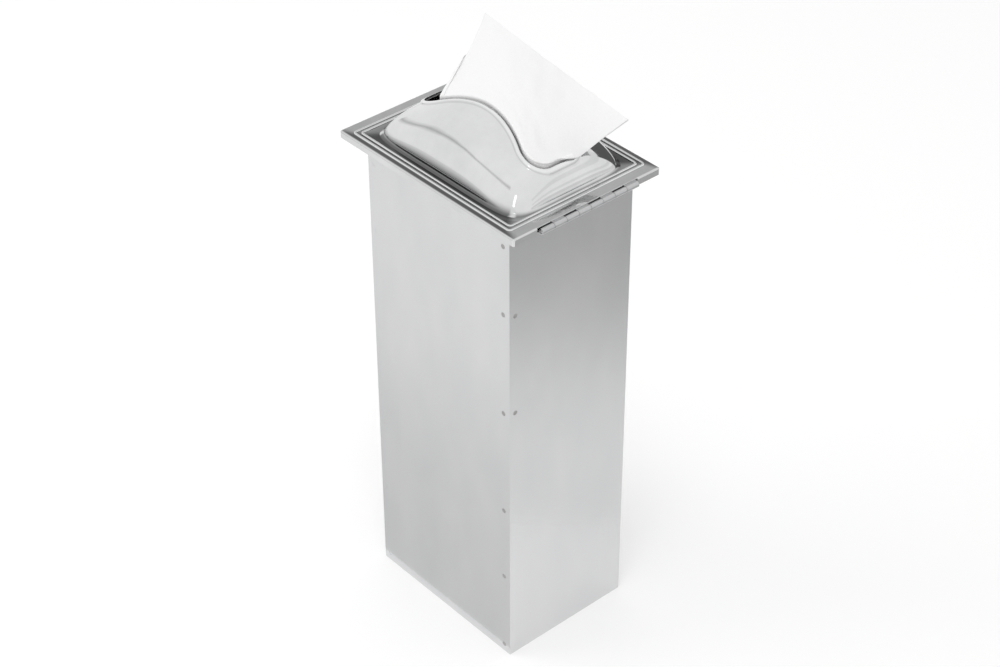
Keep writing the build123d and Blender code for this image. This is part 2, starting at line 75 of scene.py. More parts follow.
def stretched_noise(add, join, stretch, scale, detail):
    """Noise in the object's own metres, drawn out along the axes by stretch."""
    place = add("ShaderNodeTexCoord")
    mapping = add("ShaderNodeMapping", Scale=stretch)
    pattern = add("ShaderNodeTexNoise", Scale=scale, Detail=detail, Roughness=0.6)
    join(place, "Object", mapping, "Vector")
    join(mapping, "Vector", pattern, "Vector")
    return pattern


def spread_over(add, join, pattern, low, high):
    """The pattern's grey value carried to the range from low to high."""
    span = add("ShaderNodeMapRange")
    span.inputs["From Min"].default_value = 0.3
    span.inputs["From Max"].default_value = 0.7
    span.inputs["To Min"].default_value = low
    span.inputs["To Max"].default_value = high
    join(pattern, "Fac", span, "Value")
    return span


def blend_colours(add, join, factor, out, first, second):
    """A mix of two colours by a factor, joined to nothing yet."""
    mix = add("ShaderNodeMix", data_type="RGBA")
    mix.inputs["A"].default_value = (*first, 1)
    mix.inputs["B"].default_value = (*second, 1)
    join(factor, out, mix, "Factor")
    return mix


def steel(name, dark, light, rough_low, rough_high, stretch, line_scale, line_depth):
    """Metal with a cloudy tint, an uneven haze and fine lines drawn along one axis."""
    material = bpy.data.materials.new(name)
    shader, add, join = node_tree(material)
    shader.inputs["Metallic"].default_value = 1.0
    clouds = stretched_noise(add, join, (1, 1, 0.5), 14.0, 3.0)
    tint = spread_over(add, join, clouds, 0.0, 1.0)
    colour = blend_colours(add, join, tint, "Result", dark, light)
    join(colour, "Result", shader, "Base Color")
    lines = stretched_noise(add, join, stretch, line_scale, 5.0)
    haze = spread_over(add, join, lines, rough_low, rough_high)
    join(haze, "Result", shader, "Roughness")
    relief = add("ShaderNodeBump", Strength=line_depth, Distance=0.00002)
    join(lines, "Fac", relief, "Height")
    join(relief, "Normal", shader, "Normal")
    return material


def finish_nodes(material, *names):
    """Gives the solids of these nodes their finish."""
    for name in names:
        mesh = nodes[name].data
        mesh.materials.clear()
        mesh.materials.append(material)


tank_finish = steel(
    "bright_rolled_sheet", (0.665, 0.67, 0.675), (0.72, 0.72, 0.725), 0.17, 0.25,
    (60, 60, 0.6), 30.0, 0.25,
)
finish_nodes(
    tank_finish, "tank_front_panel", "tank_back_panel", "tank_hinge_end_panel",
    "tank_catch_end_panel", "tank_bottom_pan",
)

# Spot welds: where the electrodes pinched the sheets together each weld has left a small
# dished mark with a low burr round it, a little darker than the sheet from the heat. The
# marks sit in the dimples of the solids, near the hinge end alone, as the photograph has it.
weld_heights = (0.008, 0.088, 0.162, 0.266, 0.365, 0.430)
end_weld_heights = (0.268, 0.365)
weld_x = 0.079
end_weld_y = -0.0595
weld_profile = (
    (0.0019, -0.00013), (0.00225, -0.00003), (0.00225, 0.00001), (0.0020, 0.00007),
    (0.0017, 0.0), (0.0012, -0.00008), (0.0006, -0.00011), (0.00005, -0.00011),
)
weld_sides = 20
tank_low, tank_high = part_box("tank_bottom_pan")
tank_sheet = 0.0009
weld_places = []
for z in weld_heights:
    weld_places.append((Vector((weld_x, tank_low.y - tank_sheet, z)), Vector((0, -1, 0))))
    weld_places.append((Vector((weld_x, tank_high.y + tank_sheet, z)), Vector((0, 1, 0))))
for z in end_weld_heights:
    weld_places.append((Vector((tank_high.x + tank_sheet, end_weld_y, z)), Vector((1, 0, 0))))
weld_verts, weld_faces = [], []
for place, out in weld_places:
    level = Vector((0, 0, 1)).cross(out)
    first = len(weld_verts)
    for radius, rise in weld_profile:
        for k in range(weld_sides):
            turn = 2 * math.pi * k / weld_sides
            around = level * math.cos(turn) + Vector((0, 0, 1)) * math.sin(turn)
            weld_verts.append(tuple(place + out * rise + around * radius))
    for i in range(len(weld_profile) - 1):
        for k in range(weld_sides):
            a = first + i * weld_sides + k
            b = first + i * weld_sides + (k + 1) % weld_sides
            weld_faces.append((a, b, b + weld_sides, a + weld_sides))
    weld_faces.append(tuple(reversed(range(first, first + weld_sides))))
    middle = first + (len(weld_profile) - 1) * weld_sides
    weld_faces.append(tuple(range(middle, middle + weld_sides)))
weld_mesh = bpy.data.meshes.new("tank_spot_welds")
weld_mesh.from_pydata(weld_verts, [], weld_faces)
weld_marks = bpy.data.objects.new("tank_spot_welds", weld_mesh)
bpy.context.scene.collection.objects.link(weld_marks)
weld_mesh.shade_smooth()
weld_mesh.materials.append(steel(
    "heat_marked_steel", (0.36, 0.355, 0.35), (0.52, 0.515, 0.51), 0.30, 0.45,
    (8, 8, 8), 400.0, 0.3,
))
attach(weld_marks, "tank")

# Spring seat and its rivets: a pressed zinc plated cup on the tray's floor, held by
# three rivets, with a hub that keeps the spring's end coil in place.
zinc_finish = steel(
    "zinc_plated_pressing", (0.50, 0.51, 0.53), (0.62, 0.63, 0.64), 0.28, 0.42,
    (8, 8, 8), 60.0, 0.3,
)
finish_nodes(zinc_finish, "spring_seat", "spring_seat_rivets")

# Follower: a pressed steel tray with its walls turned down, a spring cup riveted under
# it, and eight nylon buttons snapped through its walls that run on the tank's sheets.
finish_nodes(tank_finish, "follower_platform")
finish_nodes(zinc_finish, "follower_spring_cup", "follower_cup_rivets")


def nylon():
    """Natural nylon: slightly cloudy, soft gloss, moulded grain."""
    material = bpy.data.materials.new("natural_nylon")
    shader, add, join = node_tree(material)
    clouds = stretched_noise(add, join, (1, 1, 1), 160.0, 3.0)
    tint = spread_over(add, join, clouds, 0.0, 1.0)
    colour = blend_colours(add, join, tint, "Result", (0.74, 0.72, 0.66), (0.82, 0.80, 0.75))
    join(colour, "Result", shader, "Base Color")
    grain = stretched_noise(add, join, (1, 1, 1), 2500.0, 2.0)
    relief = add("ShaderNodeBump", Strength=0.2, Distance=0.00003)
    join(grain, "Fac", relief, "Height")
    join(relief, "Normal", shader, "Normal")
    shader.inputs["Roughness"].default_value = 0.42
    shader.inputs["Subsurface Weight"].default_value = 0.1
    shader.inputs["Subsurface Scale"].default_value = 0.001
    return material


finish_nodes(nylon(), "follower_glides")

# Follower spring: round drawn spring wire, sixteen turns with the end turns closed. It
# stands between the seat and the cup, built at one length; the real spring shortens as
# the follower goes down.
wire_radius = 0.0013
coil_radius = 0.031 - wire_radius
coil_turns = 16
closed_turns = 1.5
closed_pitch = 0.0032
steps_per_turn = 48
wire_sides = 14
spring_low, spring_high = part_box("follower_spring")


def coil_rise(turn, length):
    """Height of the wire's centre after so many turns."""
    closed = closed_turns * closed_pitch
    if turn <= closed_turns:
        return turn * closed_pitch
    if turn >= coil_turns - closed_turns:
        return length - (coil_turns - turn) * closed_pitch
    open_turns = coil_turns - 2 * closed_turns
    return closed + (turn - closed_turns) * (length - 2 * closed) / open_turns


def skin(name, rings, close_ends=True, wrap=False):
    """A mesh object from rings of points: quads between rings, capped or wrapped round."""
    count = len(rings[0])
    verts = [tuple(p) for ring in rings for p in ring]
    faces = []
    last = len(rings) if wrap else len(rings) - 1
    for i in range(last):
        a, b = i * count, (i + 1) % len(rings) * count
        for j in range(count):
            k = (j + 1) % count
            faces.append((a + j, a + k, b + k, b + j))
    if close_ends and not wrap:
        faces.append(tuple(reversed(range(count))))
        faces.append(tuple(range(len(verts) - count, len(verts))))
    mesh = bpy.data.meshes.new(name)
    mesh.from_pydata(verts, [], faces)
    mesh.validate()
    obj = bpy.data.objects.new(name, mesh)
    bpy.context.scene.collection.objects.link(obj)
    return obj


def smooth(obj, degrees):
    """Smooth shading with sharp edges kept above that angle."""
    obj.data.shade_smooth()
    obj.data.set_sharp_from_angle(angle=math.radians(degrees))


def tube_rings(points, radius, sides):
    """Circles square to a line of points, with their up direction kept near +Z."""
    rings = []
    for i, point in enumerate(points):
        ahead = points[min(i + 1, len(points) - 1)] - points[max(i - 1, 0)]
        side = ahead.cross(Vector((0, 0, 1))).normalized()
        up = side.cross(ahead).normalized()
        rings.append([
            point + (up * math.cos(turn) + side * math.sin(turn)) * radius
            for turn in (2 * math.pi * k / sides for k in range(sides))
        ])
    return rings


wire_foot = spring_low.z + wire_radius
wire_length = spring_high.z - spring_low.z - 2 * wire_radius
coil_points = []
for step in range(coil_turns * steps_per_turn + 1):
    turn = step / steps_per_turn
    angle = 2 * math.pi * turn
    coil_points.append(Vector((
        coil_radius * math.cos(angle),
        coil_radius * math.sin(angle),
        wire_foot + coil_rise(turn, wire_length),
    )))
spring = skin("follower_spring_wire", tube_rings(coil_points, wire_radius, wire_sides))
smooth(spring, 50)
wire_finish = steel(
    "drawn_spring_wire", (0.26, 0.26, 0.27), (0.36, 0.36, 0.37), 0.24, 0.38,
    (3, 3, 30), 120.0, 0.3,
)
spring.data.materials.append(wire_finish)
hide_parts("follower_spring")
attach(spring, "tank")
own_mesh(spring)

# Napkin stack: full fold napkins of soft white tissue, dropped in with their folded
# edges to the front. Each is four plies thick and a little out of line with the next.
stack_low, stack_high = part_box("napkin_stack")
stacked_napkins = 36
plies = 4
fold_slack = 0.0006


def paper(name, shade, light, crepe_scale, crepe_depth):
    """Soft tissue: creped across, faint fibres and a faint sheen."""
    material = bpy.data.materials.new(name)
    shader, add, join = node_tree(material)
    fibres = stretched_noise(add, join, (1, 1, 1), 900.0, 6.0)
    tint = spread_over(add, join, fibres, 0.0, 1.0)
    colour = blend_colours(add, join, tint, "Result", shade, light)
    join(colour, "Result", shader, "Base Color")
    crepe = stretched_noise(add, join, (0.35, 1, 1), crepe_scale, 3.0)
    relief = add("ShaderNodeBump", Strength=crepe_depth, Distance=0.00015)
    join(crepe, "Fac", relief, "Height")
    join(relief, "Normal", shader, "Normal")
    shader.inputs["Roughness"].default_value = 0.92
    shader.inputs["Specular IOR Level"].default_value = 0.2
    shader.inputs["Sheen Weight"].default_value = 0.15
    shader.inputs["Sheen Roughness"].default_value = 0.6
    return material


stack_paper = paper("stacked_tissue", (0.80, 0.80, 0.79), (0.86, 0.86, 0.85), 700.0, 0.5)


def napkin_section(y_fold, y_open, z_low, z_high):
    """Outline of one folded napkin across its width: round fold, then stepped plies."""
    middle, half = (z_low + z_high) / 2, (z_high - z_low) / 2
    points = []
    for step in range(7):
        turn = math.pi / 2 + math.pi * step / 6
        points.append((y_fold + half + half * math.cos(turn), middle + half * math.sin(turn)))
    ply = (z_high - z_low) / plies
    for k in range(plies):
        back = y_open - fold_slack * (k % 2)
        points.append((back, z_low + ply * k + ply * 0.1))
        points.append((back, z_low + ply * (k + 1) - ply * 0.1))
        if k < plies - 1:
            points.append((back - fold_slack * 1.5, z_low + ply * (k + 1)))
    return points


def stacked(index):
    """One napkin of the stack as a skin of cross-sections along X."""
    each = (stack_high.z - stack_low.z) / stacked_napkins
    z_low = stack_low.z + index * each
    slide = 0.0008 * math.sin(index * 2.3)
    skew = 0.0009 * math.sin(index * 1.7 + 1)
    half = (stack_high.x - stack_low.x) / 2 - 0.0012
    rings = []
    for step in range(13):
        along = -half + 2 * half * step / 12
        sag = 0.00012 * math.sin(along * 70 + index)
        section = napkin_section(
            stack_low.y + 0.0013 + skew * along / half, stack_high.y - 0.001,
            z_low + 0.00005 + sag, z_low + each - 0.00005 + sag,
        )
        rings.append([(along + slide, y, z) for y, z in section])
    return rings


stack_pieces = []
for index in range(stacked_napkins):
    piece = skin(f"stacked_napkin_{index}", stacked(index))
    smooth(piece, 40)
    stack_pieces.append(piece)
stack = stack_pieces[0]
stack.name = "napkin_stack_folded"
with bpy.context.temp_override(
    active_object=stack, selected_editable_objects=stack_pieces, object=stack
):
    bpy.ops.object.join()
stack.data.materials.append(stack_paper)
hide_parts("napkin_stack")
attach(stack, "follower")

# Hinge: continuous strip hinge of plated steel, its lower leaf riveted to the tank's
# flange and its upper leaf welded under the faceplate, with a plain pin through both.
hinge_finish = steel(
    "plated_hinge_stock", (0.50, 0.505, 0.51), (0.60, 0.60, 0.605), 0.26, 0.34,
    (2, 40, 2), 60.0, 0.3,
)
finish_nodes(hinge_finish, "hinge_fixed_leaf", "hinge_pin", "hinge_cover_leaf")
finish_nodes(zinc_finish, "hinge_rivets")

# Catch: a strip of blued spring steel riveted to the flange at the other end. Its nose
# bears on the inside of the faceplate's lip and holds it shut.
finish_nodes(wire_finish, "catch_spring")
finish_nodes(zinc_finish, "catch_rivets")

# Faceplate: one sheet of steel pressed into lip, beads and dome, with the slot pierced
# through the dome and its rim raised, then chrome plated. It is one closed skin of rings
# that run round the dome, on the same level curves as the solid.
plate_sheet = 0.0008
plate_edge_radius = 0.0015
plate_corner = 0.0018
bead_width = 0.0026
bead_height = 0.0008
bead_corner = 0.003
bead_inset = Vector((0.0155, 0.0102))
bead_spacing = 0.0043
flat_step = 0.0003
dome_length = 0.171
dome_width = 0.121
dome_rise = 0.0444
long_profile = (1 / 0.55, 1 / 1.6)
cross_profile = (2, 1 / 1.8)
foot_exponent = 8.0
exponent_fade = 2.5
foot_radius = 0.002
rim_width = 0.0036
rim_rise = 0.0018
rim_foot = 0.001
slot_length = 0.144
slot_waist = 0.0226
lobe_radius = 0.0135
shoulder_radius = 0.025
neck_radius = 0.120
notch_half = 0.053
plate_low, plate_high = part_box("cover_faceplate")
plate_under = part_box("hinge_cover_leaf")[1].z
plate_top = plate_under + plate_sheet
plate_half = Vector(((plate_high.x - plate_low.x) / 2, (plate_high.y - plate_low.y) / 2))
plate_middle = (plate_high.x + plate_low.x) / 2
end_angle = math.radians(18)
top_angle = math.radians(42)
neck_angle = math.radians(50)
notch_angle = math.atan(notch_half / plate_half.x)


def dome_level(share, grow):
    """Half length, half width and corner exponent of the dome at a share of its rise."""
    flare = foot_radius * np.maximum(1 - share * dome_rise / foot_radius, 0) ** 2
    along = (1 - share ** long_profile[0]) ** long_profile[1]
    across = (1 - share ** cross_profile[0]) ** cross_profile[1]
    half_length = (dome_length / 2 + grow) * along + flare
    half_width = (dome_width / 2 + grow) * across + flare
    exponent = 2 + (foot_exponent - 2) * (1 - share) ** exponent_fade
    return half_length + 1e-9, half_width + 1e-9, exponent


def dome_height(x, y, grow):
    """Height of the dome over points of the plan, by halving."""
    x, y = np.abs(np.asarray(x, float)), np.abs(np.asarray(y, float))
    low, high = np.zeros_like(x), np.ones_like(x)
    for _ in range(40):
        middle = (low + high) / 2
        half_length, half_width, exponent = dome_level(middle, grow)
        inside = (x / half_length) ** exponent + (y / half_width) ** exponent < 1
        low, high = np.where(inside, middle, low), np.where(inside, high, middle)
    return low * dome_rise


def slot_sizes(grow):
    """The slot outline moved outwards by grow: lengths, radii and where its arcs meet."""
    half, waist = slot_length / 2 + grow, slot_waist / 2 + grow
    lobe, shoulder, neck = lobe_radius + grow, shoulder_radius + grow, neck_radius - grow
    lobe_x = half - lobe
    lobe_top = waist + neck + shoulder - math.sqrt((neck + shoulder) ** 2 - lobe_x**2)
    swing = math.asin(lobe_x / (neck + shoulder))
    return half, waist, lobe, shoulder, neck, lobe_x, lobe_top, swing


def slot_point(angle, grow):
    """Point of the slot's edge that goes with a direction, in the first quarter."""
    half, waist, lobe, shoulder, neck, lobe_x, lobe_top, swing = slot_sizes(grow)
    lobe_y = lobe_top - lobe
    if angle <= end_angle:
        return half, lobe_y * math.tan(angle) / math.tan(end_angle)
    if angle <= top_angle:
        turn = (angle - end_angle) / (top_angle - end_angle) * math.pi / 2
        return lobe_x + lobe * math.cos(turn), lobe_y + lobe * math.sin(turn)
    if angle <= neck_angle:
        turn = math.pi / 2 + swing * (angle - top_angle) / (neck_angle - top_angle)
        centre = lobe_top - shoulder
        return lobe_x + shoulder * math.cos(turn), centre + shoulder * math.sin(turn)
    x = neck * math.sin(swing) * math.tan(neck_angle) / math.tan(angle)
    return x, waist + neck - math.sqrt(neck**2 - x**2)


def foot_point(angle, grow):
    """Point of the dome's foot in a direction, in the first quarter."""
    half_length, half_width, exponent = dome_level(np.float64(0), grow)
    along, across = math.cos(angle) / half_length, math.sin(angle) / half_width
    reach = (along**exponent + across**exponent) ** (-1 / exponent)
    return reach * math.cos(angle), reach * math.sin(angle)


def frame_point(angle, half_x, half_y, corner):
    """Point of a rectangle with round corners in a direction, in the first quarter."""
    along, across = math.cos(angle), math.sin(angle)
    if half_x * across <= (half_y - corner) * along:
        return half_x, half_x * across / along
    if half_y * along <= (half_x - corner) * across:
        return half_y * along / across, half_y
    centre_x, centre_y = half_x - corner, half_y - corner
    toward = centre_x * along + centre_y * across
    reach = toward + math.sqrt(toward**2 - centre_x**2 - centre_y**2 + corner**2)
    return reach * along, reach * across


def quarter_angles():
    """Directions from +X to +Y, closest together at the lobes and the plate's corner."""
    angles = []
    for start, stop, count in ((0, 18, 12), (18, 30, 14), (30, 42, 40), (42, 50, 12), (50, 90, 40)):
        angles += [math.radians(start + (stop - start) * i / count) for i in range(count)]
    step = 0.0002
    angles += [math.pi / 2, notch_angle - step, notch_angle + step]
    return sorted(angles)


angles = quarter_angles()
under_rings = 34
top_rings = 44
ring_crowding = 1.25


def all_round(points, heights):
    """A full ring from first quarter points, mirrored, as x, y and z rows."""
    quarter = [(x, y, z) for (x, y), z in zip(points, heights)]
    ring = list(quarter)
    ring += [(-x, y, z) for x, y, z in reversed(quarter[:-1])]
    ring += [(-x, -y, z) for x, y, z in quarter[1:]]
    ring += [(x, -y, z) for x, y, z in reversed(quarter[1:-1])]
    return np.array(ring)


def dome_rings(grow, z_foot, top_grow, count):
    """Rings from the dome's foot up to the slot outline, evenly spaced along the skin."""
    share = np.linspace(0, 1, 260) ** 2
    feet = np.array([foot_point(angle, grow) for angle in angles])
    tops = np.array([slot_point(angle, top_grow) for angle in angles])
    x = feet[:, :1] + (tops[:, :1] - feet[:, :1]) * share
    y = feet[:, 1:] + (tops[:, 1:] - feet[:, 1:]) * share
    z = dome_height(x, y, grow)
    step = np.sqrt(np.diff(x) ** 2 + np.diff(y) ** 2 + np.diff(z) ** 2)
    run = np.hstack([np.zeros((len(angles), 1)), np.cumsum(step, axis=1)])
    rings = []
    for i in range(count + 1):
        part = (i / count) ** ring_crowding
        at = [np.interp(part * run[j, -1], run[j], share) for j in range(len(angles))]
        at = np.array(at)[:, None]
        points = feet + (tops - feet) * at
        heights = z_foot + dome_height(points[:, 0], points[:, 1], grow)
        rings.append(all_round(points, heights))
    return rings


def rim_lift(grow):
    """How far the rolled rim stands above the dome at a distance from the slot."""
    if grow >= rim_width + rim_foot:
        return 0.0
    middle, half = rim_width / 2, rim_width / 2 + 0.0001
    if grow <= rim_width:
        return rim_rise * math.sqrt(1 - (abs(grow - middle) / half) ** 4)
    edge = rim_rise * math.sqrt(1 - (middle / half) ** 4)
    return edge * (1 - (grow - rim_width) / rim_foot) ** 2


def rim_rings():
    """Rings over the rolled rim, from its foot on the dome to the slot's edge."""
    rings = []
    outside = rim_width + rim_foot
    distances = [outside - rim_foot * i / 4 for i in range(1, 5)]
    distances += [rim_width * (1 + math.cos(math.pi * i / 12)) / 2 for i in range(1, 13)]
    for grow in distances:
        points = [slot_point(angle, grow) for angle in angles]
        flat = np.array(points)
        heights = plate_top + dome_height(flat[:, 0], flat[:, 1], 0) + rim_lift(grow)
        rings.append(all_round(points, heights))
    return rings


def frame_ring(half_x, half_y, corner, z):
    """A ring on the plate, centred on the plate's middle."""
    points = [frame_point(angle, half_x, half_y, corner) for angle in angles]
    ring = all_round(points, [z] * len(points))
    ring[:, 0] += plate_middle
    return ring


def bead_rings(inset, width, height, z):
    """Rings over one bead, from its outer side to its inner side."""
    half_x = plate_half.x - bead_inset.x - inset
    half_y = plate_half.y - bead_inset.y - inset
    rings = []
    for share in (1.15, 1, 0.86, 0.6, 0.25, -0.25, -0.6, -0.86, -1, -1.15):
        out = share * width / 2
        rise = height * max(1 - share**4, 0) ** 0.5
        rings.append(frame_ring(half_x + out, half_y + out, bead_corner + out, z + rise))
    return rings


def edge_rings():
    """Rings from under the plate round the lip to its top, open at the hinge's notch.

    Each step has an inset and a height on the lip, and another pair in the notch.
    """
    r, t = plate_edge_radius, plate_sheet
    low = plate_low.z
    round_off = 0.00015
    lip = [
        (r, plate_under), (t + r * 0.2, plate_under - r * 0.15), (t, plate_under - r * 0.4),
        (t, low + round_off), (t - round_off, low), (round_off, low), (0, low + round_off),
    ]
    lip += [
        (r * (1 - math.cos(turn)), plate_top - r * (1 - math.sin(turn)))
        for turn in (math.radians(90 * i / 6) for i in range(7))
    ]
    run = [(r - (r - t) * i / 4, plate_under) for i in range(4)]
    run += [(t, plate_under + t * (0.1 + 0.8 * i / 5)) for i in range(6)]
    run += [(r - (r - t) * (3 - i) / 4, plate_top) for i in range(4)]
    rings = []
    for (inset, z), (notch_inset, notch_z) in zip(lip, run):
        corner = max(plate_corner - inset, 0.0004)
        ring = frame_ring(plate_half.x - inset, plate_half.y - inset, corner, z)
        cut = frame_ring(plate_half.x - notch_inset, plate_half.y - notch_inset, corner, notch_z)
        for i, point in enumerate(cut):
            side_on = math.atan2(abs(point[1]), point[0] - plate_middle)
            if side_on < notch_angle:
                ring[i] = point
        rings.append(ring)
    inset = r + flat_step
    rings.append(
        frame_ring(plate_half.x - inset, plate_half.y - inset, plate_corner / 2, plate_top)
    )
    return rings


def faceplate_rings():
    """All rings of the skin in order: under the dome, out to the lip, and back on top."""
    groove = bead_width - 2 * plate_sheet
    under = list(reversed(dome_rings(-plate_sheet, plate_under, 0, under_rings)))
    grooves = list(reversed(bead_rings(0, groove, bead_height, plate_under)))
    grooves += reversed(bead_rings(-bead_spacing, groove, bead_height, plate_under))
    beads = bead_rings(-bead_spacing, bead_width, bead_height, plate_top)
    beads += bead_rings(0, bead_width, bead_height, plate_top)
    foot = [foot_point(angle, flat_step) for angle in angles]
    beads.append(all_round(foot, [plate_top] * len(foot)))
    dome = dome_rings(0, plate_top, rim_width + rim_foot, top_rings)
    return under + grooves + edge_rings() + beads + dome + rim_rings()


def eased(value):
    """A number from 0 to 1 that starts and ends gently."""
    value = min(max(value, 0.0), 1.0)
    return value * value * (3 - 2 * value)


# Painted reflection and shade on the chrome faceplate. Each list scales the colour ring by ring,
# from the lip's ring inwards. Under 1 is painted dark reflection and shade: on the lip's round top,
# the flats, the beads' sides, the crease at the dome's foot and the rim's foot, with a painted
# shadow at the rim's inner edge by the napkin. Over 1 is painted highlight on the bead crests and
# the rim's crest. A crease pair is how dark the painted shade at the dome's foot is and how far up
# it climbs; near the dome's corners the painted shade is lifted.
bead_painted_shades = [0.22, 0.45, 1.0, 1.15, 1.15, 1.15, 1.1, 0.9, 0.36, 0.17]
lip_painted_shades = [1.0] * 10 + [0.95, 0.8, 0.55, 0.34, 0.24]
rim_painted_shades = [
    1.0, 0.95, 0.86, 0.82, 0.9, 1.0, 1.1, 1.14, 1.14, 1.12, 1.1, 1.0, 0.8, 0.45, 0.25, 0.2,
]
flat_painted_shade_long = 0.15
flat_painted_shade_end = 0.5
lip_least_end = 0.9
bead_least_end = 0.6
crease_painted_shade_long = (0.18, 0.22)
crease_painted_shade_end = (0.30, 0.15)
mitre_width = 0.10
corner_painted_shade = 0.92
corner_width = 0.06
corner_hold = 1.4


def painted_reflection_shades(rings):
    """Painted reflection and shade at each point, as a scale on the chrome's colour.

    It is full on the dome's upper part, painted highlight on the bead crests and the rim's
    crest, a painted shadow at the rim's inner edge, and painted dark reflection and shade on
    the flats, the beads' sides and in the crease at the dome's foot, most of all along the
    two long sides, lifted again near the dome's corners. The shades run from the lip's ring
    inwards, and a crease is how dark it is painted and how far it climbs.
    """
    dome_long, dome_end = [], []
    for i in range(top_rings + 1):
        climb = (i / top_rings) ** ring_crowding
        for shades, (painted_dark, height) in ((dome_long, crease_painted_shade_long), (dome_end, crease_painted_shade_end)):
            shades.append(painted_dark + (1 - painted_dark) * eased(climb / height))
    long_side = lip_painted_shades + bead_painted_shades * 2 + [flat_painted_shade_long] + dome_long + rim_painted_shades
    end_beads = [max(shade, bead_least_end) for shade in bead_painted_shades]
    end_side = [max(shade, lip_least_end) for shade in lip_painted_shades]
    end_side += [lip_least_end] + end_beads[1:] + end_beads
    end_side += [flat_painted_shade_end] + dome_end + rim_painted_shades
    first_dome = len(lip_painted_shades) + 2 * len(bead_painted_shades) + 1
    dome_numbers = range(first_dome, first_dome + len(dome_long))
    plain = len(rings) - len(long_side)
    values = [np.ones(len(rings[0]))] * plain
    for number, (on_long, on_end) in enumerate(zip(long_side, end_side)):
        ring = rings[plain + number]
        across = np.abs(ring[:, 1])
        along = np.abs(ring[:, 0] - plate_middle)
        lead = across / across.max() - along / along.max()
        value = on_end + (on_long - on_end) * np.clip(0.5 + lead / mitre_width, 0, 1)
        if number in dome_numbers:
            corner = np.clip(corner_hold - np.abs(lead) / corner_width, 0, 1)
            value = np.maximum(value, corner_painted_shade * corner)
        values.append(value)
    return np.concatenate(values)


def chrome():
    """Bright chrome plate over pressed steel: faint polishing lines and wiping marks, with
    its colour scaled by painted reflection and shade from the mesh.
    """
    material = bpy.data.materials.new("bright_chrome_plate")
    shader, add, join = node_tree(material)
    shader.inputs["Metallic"].default_value = 1.0
    clouds = stretched_noise(add, join, (1, 1, 1), 24.0, 5.0)
    tint = spread_over(add, join, clouds, 0.0, 1.0)
    colour = blend_colours(add, join, tint, "Result", (0.655, 0.66, 0.662), (0.75, 0.752, 0.755))
    # Painted reflection and shade: the colour is scaled by a value stored on the faceplate's
    # points.
    shade = add("ShaderNodeAttribute", attribute_name="painted_reflection")
    painted_colour = add("ShaderNodeVectorMath", operation="SCALE")
    join(colour, "Result", painted_colour, 0)
    join(shade, "Fac", painted_colour, "Scale")
    join(painted_colour, "Vector", shader, "Base Color")
    wiping = stretched_noise(add, join, (1.0, 14.0, 6.0), 22.0, 6.0)
    haze = spread_over(add, join, wiping, 0.045, 0.095)
    join(haze, "Result", shader, "Roughness")
    relief = add("ShaderNodeBump", Strength=0.12, Distance=0.00002)
    join(wiping, "Fac", relief, "Height")
    join(relief, "Normal", shader, "Normal")
    return material


plate_rings = faceplate_rings()
faceplate = skin("cover_faceplate_pressing", plate_rings, wrap=True)
smooth(faceplate, 32)
# Painted reflection and shade, stored on the points for the chrome to scale its colour by.
painted_reflection = faceplate.data.attributes.new("painted_reflection", "FLOAT", "POINT")
painted_reflection.data.foreach_set("value", painted_reflection_shades(plate_rings))
chrome_finish = chrome()
faceplate.data.materials.append(chrome_finish)
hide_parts("cover_faceplate")
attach(faceplate, "cover")

# Drawn napkin: one full fold napkin of white tissue pulled half out through the slot. It
# stands up along the slot's front edge and leans back above it, its two outer leaves a
# little apart at their free edges.
paper_gap = 0.0017
bend_gap = 0.0008
left_x = -0.0455
right_turn = math.radians(13)
drawn_rise = 0.004
rise_right = 0.0003
drop_right = 0.001
lean_right = Vector((0.0128, -0.002, 0))
fade = 4
drawn_bow = 0.007
corner_left = Vector((-0.078, 0.0536, 0.0714 + plate_top))
corner_right = Vector((0.084, 0.0602, 0.0419 + plate_top))
sag_left = Vector((-0.003, 0.004, -0.016))
sag_right = Vector((-0.010, -0.025, -0.029))
leaf_columns = 132
leaf_rows = 62
leaf_thickness = 0.00028
soft_crease = 0.0028
fine_crease = 0.0008


def drawn_line():
    """The napkin's line through the slot in plan, from its left edge to its right one."""
    half, waist, lobe, shoulder, neck, lobe_x, lobe_top, swing = slot_sizes(-paper_gap)
    lobe_y = lobe_top - lobe
    low_y = shoulder - lobe_top
    quarter = math.pi / 2
    left_turn = math.asin((lobe_x + left_x) / shoulder)
    arcs = [
        (-lobe_x, low_y, shoulder, left_turn - quarter, swing - quarter),
        (0, -waist - neck, neck, quarter + swing, quarter - swing),
        (lobe_x, low_y, shoulder, -quarter - swing, -quarter),
        (lobe_x, -lobe_y, lobe, -quarter, 0),
        (lobe_x, lobe_y, lobe, 0, right_turn),
    ]
    line = []
    for centre_x, centre_y, radius, start, stop in arcs:
        for angle in np.linspace(start, stop, 80, endpoint=False):
            line.append((centre_x + radius * math.cos(angle), centre_y + radius * math.sin(angle)))
    end = (lobe_x + lobe * math.cos(right_turn), lobe_y + lobe * math.sin(right_turn))
    line = np.array(line + [end])
    run = np.hstack([0, np.cumsum(np.hypot(*np.diff(line, axis=0).T))])
    even = np.linspace(0, run[-1], leaf_columns + 1)
    return np.column_stack([np.interp(even, run, line[:, k]) for k in (0, 1)])


